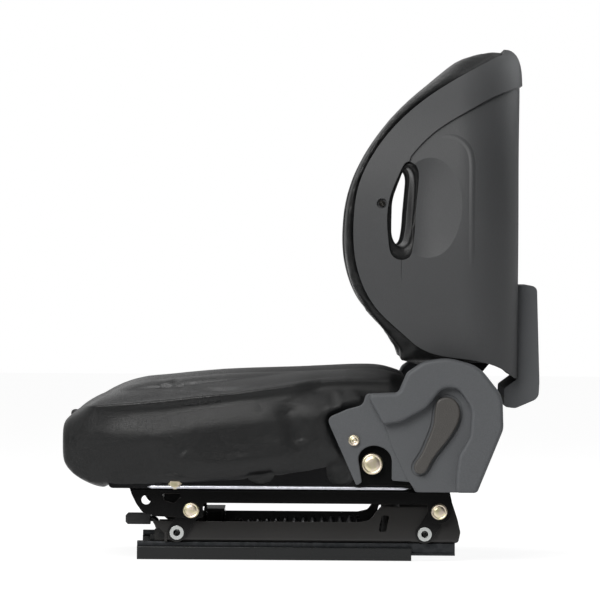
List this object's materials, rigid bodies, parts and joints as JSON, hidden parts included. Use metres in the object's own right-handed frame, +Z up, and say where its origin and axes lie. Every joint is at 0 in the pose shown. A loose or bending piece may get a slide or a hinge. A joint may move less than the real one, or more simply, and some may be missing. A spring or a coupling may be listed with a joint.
{
  "type": "forklift seat",
  "caption": "Operator seat with winged reclining back, vinyl cushions, grey side covers, low rocker suspension and sliding floor rails.",
  "frame": {"origin": "middle of the floor bolt pattern, on the underside of the fixed rails", "axes": "+X to the rear of the seat, +Y to the sitter's right, +Z up"},
  "size_m": [0.6159, 0.524, 0.659],
  "materials": {
    "rail_steel": "black electrocoat, satin",
    "moving_rail_steel": "zinc-plated rolled steel",
    "roller_steel": "bright steel",
    "frame_paint": "gloss black powder coat",
    "pan_paint": "satin black powder coat",
    "ring_steel": "bright zinc",
    "yellow_zinc": "yellow passivated zinc",
    "spring_steel": "black oiled spring steel",
    "buffer_rubber": "moulded rubber",
    "grip_plastic": "black moulded plastic",
    "vinyl": "black coated vinyl over foam",
    "shell_plastic": "grey grained moulded plastic",
    "cover_plastic": "grey grained moulded plastic",
    "lever_plastic": "dark grey moulded plastic",
    "screw_black": "black oxide"
  },
  "bodies": {
    "floor_rails": {"fixed_rail_left": "rail_steel", "fixed_rail_right": "rail_steel"},
    "roller_cages": {"roller_cage_left": "roller_steel", "roller_cage_right": "roller_steel"},
    "carriage": {"moving_rail_left": "moving_rail_steel", "moving_rail_right": "moving_rail_steel", "lower_side_left": "frame_paint", "lower_side_right": "frame_paint", "lower_cross_front": "frame_paint", "lower_cross_rear": "frame_paint", "spring_anchor": "frame_paint", "bump_stops": "buffer_rubber", "suspension_spring_left": "spring_steel", "suspension_spring_right": "spring_steel"},
    "slide_latch": {"slide_bar": "rail_steel", "slide_grip": "grip_plastic"},
    "front_rocker": {"front_rocker_left": "frame_paint", "front_rocker_right": "frame_paint", "front_pivot_tube": "ring_steel"},
    "rear_rocker": {"rear_rocker_left": "frame_paint", "rear_rocker_right": "frame_paint", "rear_pivot_tube": "ring_steel"},
    "seat_carrier": {"upper_side_left": "frame_paint", "upper_side_right": "frame_paint", "upper_cross_front": "frame_paint", "upper_cross_rear": "frame_paint", "pivot_bolts": "yellow_zinc", "seat_pan": "pan_paint", "pan_bolts": "yellow_zinc", "seat_cushion": "vinyl", "recliner_ear_left": "frame_paint", "recliner_ear_right": "frame_paint", "ear_bolts": "yellow_zinc", "side_cover_left": "cover_plastic", "side_cover_right": "cover_plastic", "cover_screws": "yellow_zinc"},
    "weight_adjuster": {"weight_lever": "rail_steel", "weight_grip": "grip_plastic"},
    "recline_handle": {"recline_lever": "lever_plastic"},
    "backrest": {"recliner_arm_left": "frame_paint", "recliner_arm_right": "frame_paint", "hinge_pins": "ring_steel", "back_shell": "shell_plastic", "handle_screws": "screw_black", "back_cushion": "vinyl", "back_frame": "frame_paint", "rear_cover": "cover_plastic"}
  },
  "joints": [
    {"name": "fore_aft", "type": "slide", "parent": "floor_rails", "child": "carriage", "axis": [1, 0, 0], "range_m": [-0.09, 0.045]},
    {"name": "cage_travel", "type": "slide", "parent": "floor_rails", "child": "roller_cages", "axis": [1, 0, 0], "range_m": [-0.045, 0.0225]},
    {"name": "slide_lever", "type": "hinge", "parent": "carriage", "child": "slide_latch", "pos_m": [-0.146, -0.131, 0.03], "axis": [0, 1, 0], "range_deg": [0, 10], "stiffness_Nm_per_rad": 0.6, "springref_deg": -14.32},
    {"name": "suspension", "type": "hinge", "parent": "carriage", "child": "front_rocker", "pos_m": [-0.125, 0, 0.0345], "axis": [0, 1, 0], "range_deg": [0, 44], "stiffness_Nm_per_rad": 26, "springref_deg": -26.36, "deforming": ["suspension_spring_left", "suspension_spring_right"]},
    {"name": "rear_rocker_pivot", "type": "hinge", "parent": "carriage", "child": "rear_rocker", "pos_m": [0.193, 0, 0.0345], "axis": [0, 1, 0], "range_deg": [0, 44]},
    {"name": "carrier_level", "type": "hinge", "parent": "front_rocker", "child": "seat_carrier", "pos_m": [-0.1067, 0, 0.0638], "axis": [0, 1, 0], "range_deg": [-44, 0]},
    {"name": "weight_setting", "type": "hinge", "parent": "seat_carrier", "child": "weight_adjuster", "pos_m": [-0.1645, 0.2, 0.0765], "axis": [0, 1, 0], "range_deg": [-8, 18]},
    {"name": "recline", "type": "hinge", "parent": "seat_carrier", "child": "backrest", "pos_m": [0.221, 0, 0.192], "axis": [0, 1, 0], "range_deg": [-6, 24]},
    {"name": "recline_release", "type": "hinge", "parent": "seat_carrier", "child": "recline_handle", "pos_m": [0.221, -0.25, 0.192], "axis": [0, 1, 0], "range_deg": [0, 20], "stiffness_Nm_per_rad": 0.5, "springref_deg": -8.59}
  ],
  "couplings": [
    {"joint": "cage_travel", "follows": "fore_aft", "ratio": 0.5},
    {"joint": "rear_rocker_pivot", "follows": "suspension", "ratio": 1},
    {"joint": "carrier_level", "follows": "suspension", "ratio": -1}
  ]
}
